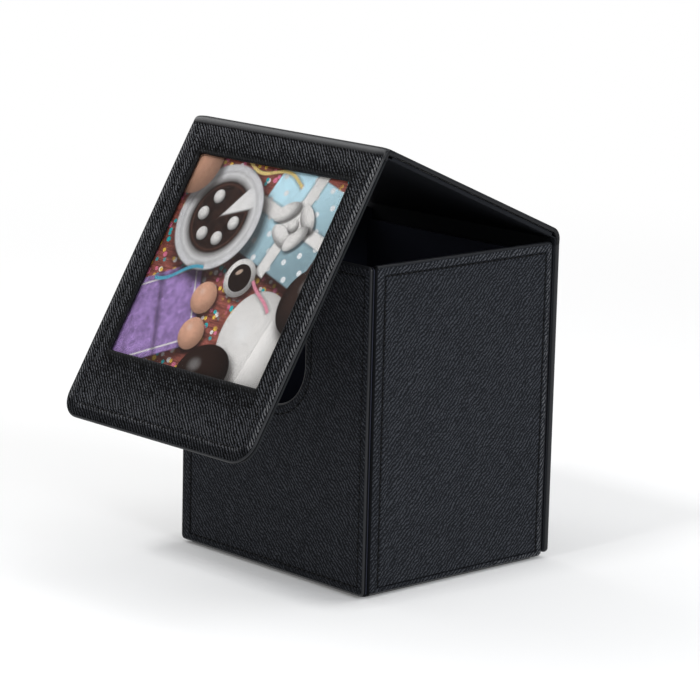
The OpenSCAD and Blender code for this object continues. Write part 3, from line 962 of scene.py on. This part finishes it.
def back_fold(y, rise, radius):
    """Outer line of a back fold's layer, from the upright panel to the lid."""
    axis = JOINTS["lid_hinge"] / MM
    s, c = math.sin(LID_OPEN), math.cos(LID_OPEN)
    meets = axis.z + (rise - s * (y - axis.y)) / c
    leg = axis.y - LID_BACK_Y + c * (y - axis.y) - s * (meets - axis.z)
    return bent_path((y, SPINE_TOP_Z), math.pi / 2, (meets - SPINE_TOP_Z, leg),
                     math.pi / 2 - LID_OPEN, radius)


def ridge_leather():
    """Outer line of the ridge fold's leather, from the lid to the flap."""
    turn = math.pi / 2 - FLAP_OPEN
    leg = RIDGE_REACH - LEATHER_T + LEATHER_T * math.tan(turn / 2)
    return bent_path((LID_FRONT_Y, LID_TOP_Z), math.pi, (leg, leg), turn, RIDGE_R)


def ridge_lining():
    """Outer line of the ridge fold's lining, which lies behind the leather."""
    below, behind = LID_T - LINING_T - LEATHER_T, FLAP_T - LINING_T - LEATHER_T
    s, c = math.sin(FLAP_OPEN), math.cos(FLAP_OPEN)
    meet = (behind - below * s) / c
    reach = RIDGE_REACH - LEATHER_T
    return bent_path((LID_FRONT_Y, LID_UNDER_Z + LINING_T), math.pi,
                     (reach - meet, reach + meet * s - below * c),
                     math.pi / 2 - FLAP_OPEN, LINING_FOLD_R)


# Outer lines of the cover's two leather folds, and the lengths along the hide, from the
# foot of the back panel, at which the lid's zero, the ridge and the flap's zero lie
BACK_LEATHER = back_fold(SPINE_OUT_Y, LID_TOP_Z - JOINTS["lid_hinge"].z / MM, BACK_FOLD_R)
RIDGE_LEATHER = ridge_leather()
LID_V = SPINE_TOP_Z + BACK_LEATHER[-1][2] + LID_BACK_Y
RIDGE_V = LID_V - LID_FRONT_Y
FLAP_V = RIDGE_V + RIDGE_LEATHER[-1][2] - RIDGE_REACH


class PHOTOBOX_OT_front_wall(bpy.types.Operator):
    """Make the front wall's leather with its thumb notch"""

    bl_idname = "photobox.front_wall"
    bl_label = "Front wall"

    def execute(self, context):
        low, high = (-BODY_W / 2, WALL_Z), (BODY_W / 2, BODY_H)
        place = placed((0, FRONT_Y + SHELL_FRONT, 0), ACROSS, UP, -BACK)
        # The stitches' distances from the left, right, lower and upper edges
        seams = (4.4, 2.3, 2.5, 3.0)
        # Its turned edges are painted dark as shade
        wall = panel("front_wall_leather", lambda inset: notched_ring(low, high, inset),
                     SHELL_FRONT, seams, place, band=0.8, edge=-1.0)
        finish_piece(wall, "box", "leather", leather("falling"), "front_cover")
        left, right = low[0] + seams[0], high[0] - seams[1]
        near, far = low[1] + seams[2], high[1] - seams[3]
        lip = NOTCH_R + seams[3]
        runs = chain((left, near), (right, near), (right, far), (lip + 0.5, far))
        runs += chain((-lip - 0.5, far), (left, far), (left, near))
        runs += chain((lip, far), *arc((0, NOTCH_Z), lip, 0, -180, 20), (-lip, far))
        stitches("front_wall_stitches", "box", runs, place, SHELL_FRONT)
        return {"FINISHED"}


class PHOTOBOX_OT_side_walls(bpy.types.Operator):
    """Make the leather of the two side walls"""

    bl_idname = "photobox.side_walls"
    bl_label = "Side walls"

    def execute(self, context):
        length = TRAY_BACK_Y - SIDE_Y
        # Likewise from the front, back, lower (not sewn) and upper edges
        seams = (6.0 + FRONT_Y - SIDE_Y, 3.0, 0.0, 3.1)
        near, far, top, foot = seams[0], length - seams[1], WALL_H - seams[3], 1.2
        runs = chain((near, foot), (near, top), (far, top), (far, foot))

        def ring(inset):
            return rounded_ring((0.0, 0.0), (length, WALL_H), (CORNER_R, CORNER_R), inset)

        def edge(u, v):
            """Painted shade on the turned edges, deepest on the front edge, which lies in a
            crease.
            """
            return -1.0 if u < 1 else -0.1

        def beside_sheen(u, v):
            """Painted highlight beside the back edge, and a weaker one beside the top edge."""
            return 0.7 if u > length - SHEEN_W else 0.35 if v > WALL_H - SHEEN_W else 0.0

        for name, sign, ribs in (("right", 1, "rising"), ("left", -1, "falling")):
            place = placed((sign * (BODY_W / 2 - SHELL_SIDE), SIDE_Y, WALL_Z), BACK, UP,
                           sign * ACROSS)
            wall = panel(f"{name}_wall_leather", ring, SHELL_SIDE, seams, place, band=0.8,
                         edge=edge, beside_sheen=beside_sheen)
            finish_piece(wall, "box", "leather", leather(ribs), f"{name}_cover")
            stitches(f"{name}_wall_stitches", "box", runs, place, SHELL_SIDE)
        return {"FINISHED"}


class PHOTOBOX_OT_back_panel(bpy.types.Operator):
    """Make the leather of the cover's back panel"""

    bl_idname = "photobox.back_panel"
    bl_label = "Back panel"

    def execute(self, context):
        seam = in_mm(context.scene.box_seams).cover
        low, high = (-SPINE_W / 2, SPINE_RISE), (SPINE_W / 2, SPINE_TOP_Z)
        place = placed((0, SPINE_OUT_Y - SHELL_SPINE, 0), -ACROSS, UP, BACK)
        back = panel(
            "back_panel_leather",
            lambda inset: rounded_ring(low, high, (CORNER_R, SQUARE_R), inset),
            SHELL_SPINE, (seam, seam, seam, 0.0), place, cut=(3,),
            sheet=lambda u, v: (-u, v))
        finish_piece(back, "box", "leather", leather("cover"), "spine_cover")
        left, right, near = low[0] + seam, high[0] - seam, low[1] + seam
        runs = chain((left, high[1] - 1), (left, near), (right, near), (right, high[1] - 1))
        stitches("back_panel_stitches", "box", runs, place, SHELL_SPINE)
        return {"FINISHED"}


class PHOTOBOX_OT_folds(bpy.types.Operator):
    """Make the leather and the lining of the back fold and of the ridge fold"""

    bl_idname = "photobox.folds"
    bl_label = "Folds"

    def execute(self, context):
        seam = in_mm(context.scene.box_seams).cover
        hide, lining = (leather("cover"), "leather"), (cover_lining(), "lining")

        def fold(name, node, finish, bodies, pose, path, widths, thickness, **more):
            piece = strip(name, path, widths, thickness, pose, **more)
            finish_piece(piece, None, finish[1], finish[0], node)
            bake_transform(piece)

        still, bodies = Matrix.Identity(4), ("box", "lid")
        fold("back_fold_leather", "back_hinge_leather", hide, bodies, still, BACK_LEATHER,
             (SPINE_W, COVER_W), LEATHER_T, gloss=0.5, first_v=SPINE_TOP_Z,
             edge_t=SHELL_LID, seam=seam)
        inner = back_fold(TRAY_BACK_Y + LINING_T,
                          LID_UNDER_Z + LINING_T - JOINTS["lid_hinge"].z / MM, LINING_FOLD_R)
        fold("back_fold_lining", "back_hinge_lining", lining, bodies, still, inner,
             (SPINE_W - 0.4, COVER_W - 1.4), LINING_T, gloss=0.5)

        bodies = ("lid", "flap")
        fold("ridge_fold_leather", "ridge_hinge_leather", hide, bodies, LID_POSE,
             RIDGE_LEATHER, (COVER_W, COVER_W), LEATHER_T, gloss=1.0, first_v=RIDGE_V,
             edge_t=2.0, seam=seam)
        fold("ridge_fold_lining", "ridge_hinge_lining", lining, bodies, LID_POSE,
             ridge_lining(), (COVER_W - 1.0, COVER_W - 1.0), LINING_T, gloss=0.5)
        return {"FINISHED"}


class PHOTOBOX_OT_lid(bpy.types.Operator):
    """Make the lid's leather"""

    bl_idname = "photobox.lid"
    bl_label = "Lid"

    def execute(self, context):
        seam = in_mm(context.scene.box_seams).cover
        low, high = (-COVER_W / 2, LID_FRONT_Y), (COVER_W / 2, LID_BACK_Y)
        place = LID_POSE @ placed((0, 0, LID_TOP_Z - SHELL_LID), ACROSS, BACK, UP)
        # Its turned edges get a light painted shade
        lid = panel(
            "lid_leather",
            lambda inset: rounded_ring(low, high, (SQUARE_R, SQUARE_R), inset),
            SHELL_LID, (seam, seam, 0.0, 0.0), place, cut=(2, 3),
            sheet=lambda u, v: (u, LID_V - v), edge=-0.4)
        finish_piece(lid, "lid", "leather", leather("cover"), "lid_cover")
        runs = [((side, LID_FRONT_Y + 1), (side, LID_BACK_Y - 1))
                for side in (low[0] + seam, high[0] - seam)]
        stitches("lid_stitches", "lid", runs, place, SHELL_LID)
        return {"FINISHED"}


def flap_place(depth):
    """Place of a plane in the flap, at a depth below its outer face. Lengths run down from
    the ridge, and heights forward."""
    return FLAP_POSE @ placed((0, FLAP_OUT_Y + depth, LID_TOP_Z), ACROSS, -UP, -BACK)


class PHOTOBOX_OT_flap(bpy.types.Operator):
    """Make the flap's leather with its window"""

    bl_idname = "photobox.flap"
    bl_label = "Flap"

    def execute(self, context):
        seam = in_mm(context.scene.box_seams).cover
        place = flap_place(SHELL_FLAP)

        def around(inset):
            return rounded_ring((-COVER_W / 2, RIDGE_REACH), (COVER_W / 2, FLAP_LEN),
                                (SQUARE_R, FLAP_CORNER_R), [inset, inset, 0.0, inset], 10)

        def window(inset):
            return rounded_ring((-WINDOW_W / 2, WINDOW_TOP),
                                (WINDOW_W / 2, WINDOW_TOP + WINDOW_H), (0.5, 0.5),
                                [-inset] * 4, 10)

        def edge_lighting(u, v):
            """Painted highlight on the ribs over the right edge, a weaker one over the left
            edge, and painted shade along the foot and the rest of the edge band.
            """
            if v > FLAP_LEN - 5:
                return -0.6
            return (1.0 if u > COVER_W / 2 - SHEEN_W else
                    0.3 if u < SHEEN_W - COVER_W / 2 else -0.6)

        rings = Rings(lambda u, v: (u, FLAP_V + v))
        steps = surface_steps(seam)
        rows = turned_edge(SHELL_FLAP - steps[0][1])
        # The turned edge, short of its outer rounding, is painted dark as shade
        for i, (inset, height, skin) in enumerate(rows):
            rings.add(around(inset), height, around(skin), 0.1,
                      -1.0 if i < len(rows) - ROUND_ROWS else 0.0)
        # Painted highlight and shade along the edge band, and painted shade in the seam's
        # channel
        for at, drop, crease_shade in steps[1:]:
            rings.add(around(at), SHELL_FLAP - drop, around(at), 1.0,
                      edge_lighting if at < 3 else -0.25 * crease_shade)
        for inset, height, skin in reversed(turned_edge(SHELL_FLAP)):
            rings.add(window(inset), height, window(skin), 0.3)
        flap = rings.mesh("flap_leather", place, close=True)
        finish_piece(flap, "flap", "leather", leather("cover"), "flap_cover")

        side, foot, r = COVER_W / 2 - seam, FLAP_LEN - seam, FLAP_CORNER_R - seam
        head = RIDGE_REACH + 0.5
        runs = chain((side, head), *arc((side - r, foot - r), r, 0, 90, 2),
                     *arc((r - side, foot - r), r, 90, 180, 2), (-side, head))
        stitches("flap_stitches", "flap", runs, place, SHELL_FLAP)
        return {"FINISHED"}


class PHOTOBOX_OT_linings(bpy.types.Operator):
    """Finish the linings, the boards, the base and the closure's metal"""

    bl_idname = "photobox.linings"
    bl_label = "Linings and inner parts"

    def execute(self, context):
        sizes = context.scene.box_leather
        board = material("grey_board", grey_board)
        inner = material("inner_leather", plain_lining, sizes.inner, 0.05)
        tray = material("tray_lining", plain_lining, sizes.tray)
        finishes = {f"{side}_lining": tray
                    for side in ("front", "left", "right", "back", "floor")}
        finishes.update({
            "flap_lining": inner, "base_sheet": inner,
            "catch_plates": material("steel_plate", metal, (0.5, 0.51, 0.53), 0.38),
            "flap_magnets": material("plated_magnet", metal, (0.62, 0.62, 0.64), 0.22)})
        for name, node in frame["nodes"].items():
            if name.endswith("_board"):
                finish = board
            elif name.endswith("_lining"):
                finish = finishes.get(name, cover_lining())
            else:
                finish = finishes.get(name)
            if finish and not node.hide_render:
                dress(node, finish)
        return {"FINISHED"}


class PHOTOBOX_OT_print(bpy.types.Operator):
    """Make the print and the clear film in front of it"""

    bl_idname = "photobox.print"
    bl_label = "Print and window"

    def execute(self, context):
        place = flap_place(SHELL_FLAP + FILM_T + PRINT_T)
        low, high = (-PRINT_W / 2, PRINT_TOP), (PRINT_W / 2, PRINT_TOP + PRINT_H)
        rings = Rings()
        bevel = 0.06
        for inset, height in ((bevel, 0.0), (0.0, bevel), (0.0, PRINT_T - bevel),
                              (bevel, PRINT_T), (0.5, PRINT_T)):
            around = rounded_ring(low, high, (PRINT_CORNER_R, PRINT_CORNER_R), [inset] * 4, 8)
            rings.add(around, height, [(u, v - PRINT_TOP) for u, v in around],
                      wear=0.0 if height else -1.0)
        card = rings.mesh("instant_print", place)
        finish_piece(card, "flap", "print", material("party_print", party_print), "photo_print")
        dress(frame["nodes"]["window_film"], material("clear_film", clear_film))
        return {"FINISHED"}


def lamp(name, place, target, size, watts, tint=(1, 1, 1)):
    """Adds a square soft light that looks at a point."""
    data = bpy.data.lights.new(name, "AREA")
    data.shape, data.size = "SQUARE", size
    data.energy, data.color = watts, tint
    light = bpy.data.objects.new(name, data)
    bpy.context.scene.collection.objects.link(light)
    light.location = place
    aim = (Vector(target) - Vector(place)).to_track_quat("-Z", "Y")
    light.rotation_mode, light.rotation_quaternion = "QUATERNION", aim


class PHOTOBOX_OT_stage(bpy.types.Operator):
    """Make the floor, the lights and the camera"""

    bl_idname = "photobox.stage"
    bl_label = "Studio"

    def execute(self, context):
        scene, sizes = context.scene, context.scene.box_stage
        half = 6.0
        data = bpy.data.meshes.new("studio_floor")
        corners = [(-half, -half, 0), (half, -half, 0), (half, half, 0), (-half, half, 0)]
        data.from_pydata(corners, [], [(0, 1, 2, 3)])
        floor = bpy.data.objects.new("studio_floor", data)
        scene.collection.objects.link(floor)
        dress(floor, material("studio_floor", studio_floor))
        scene.world = studio_room("studio")

        low, ridge = (0, 0, 0.05), (0, 0, 0.1)
        lamp("key_light", (0.0, -0.76, 0.99), low, 0.2, sizes.key_w)
        lamp("fill_light", (1.05, 0.0, 0.6), low, 0.6, sizes.fill_w, (0.93, 0.96, 1.0))
        lamp("top_light", (0.15, 0.4, 1.0), low, 0.6, sizes.top_w)
        lamp("ridge_light", (-0.85, -0.15, 0.75), ridge, 0.9, sizes.ridge_w)

        camera = bpy.data.cameras.new("camera")
        camera.sensor_width = 36.0
        camera.lens = sizes.focal_px / 700 * camera.sensor_width
        camera.clip_start, camera.clip_end = 0.01, 50.0
        eye = bpy.data.objects.new("camera", camera)
        scene.collection.objects.link(eye)
        a, e = sizes.azimuth, sizes.elevation
        back = Vector((math.sin(a) * math.cos(e), -math.cos(a) * math.cos(e), math.sin(e)))
        right = Vector((math.cos(a), math.sin(a), 0))
        up = back.cross(right)
        c, s = math.cos(sizes.roll), math.sin(sizes.roll)
        basis = Matrix((right * c + up * s, up * c - right * s, back)).transposed()
        eye.matrix_world = Matrix.Translation(sizes.place) @ basis.to_4x4()
        scene.camera = eye
        scene.view_settings.view_transform = "Standard"
        return {"FINISHED"}


OPERATORS = (PHOTOBOX_OT_stage, PHOTOBOX_OT_front_wall, PHOTOBOX_OT_side_walls,
             PHOTOBOX_OT_back_panel, PHOTOBOX_OT_folds, PHOTOBOX_OT_lid, PHOTOBOX_OT_flap,
             PHOTOBOX_OT_linings, PHOTOBOX_OT_print)
SIZES = {"box_leather": LeatherSizes, "box_seams": SeamSizes, "box_print": PrintColours,
         "box_stage": StageSizes}


class PHOTOBOX_PT_panel(bpy.types.Panel):
    """Steps that build the box"""

    bl_idname = "PHOTOBOX_PT_panel"
    bl_label = "Photo storage box"
    bl_space_type = "VIEW_3D"
    bl_region_type = "UI"
    bl_category = "Photo box"

    def draw(self, context):
        for operator in OPERATORS:
            self.layout.operator(operator.bl_idname)
        for name in SIZES:
            group = getattr(context.scene, name)
            box = self.layout.box()
            for key in type(group).__annotations__:
                box.prop(group, key)


def register():
    for cls in (*SIZES.values(), *OPERATORS, PHOTOBOX_PT_panel):
        bpy.utils.register_class(cls)
    for name, cls in SIZES.items():
        setattr(bpy.types.Scene, name, PointerProperty(type=cls))


def unregister():
    for name in SIZES:
        delattr(bpy.types.Scene, name)
    for cls in reversed((*SIZES.values(), *OPERATORS, PHOTOBOX_PT_panel)):
        bpy.utils.unregister_class(cls)


def main():
    register()
    bpy.ops.photobox.stage()
    bpy.ops.photobox.front_wall()
    bpy.ops.photobox.side_walls()
    bpy.ops.photobox.back_panel()
    bpy.ops.photobox.folds()
    bpy.ops.photobox.lid()
    bpy.ops.photobox.flap()
    bpy.ops.photobox.linings()
    bpy.ops.photobox.print()
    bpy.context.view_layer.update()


if __name__ == "__main__":
    main()
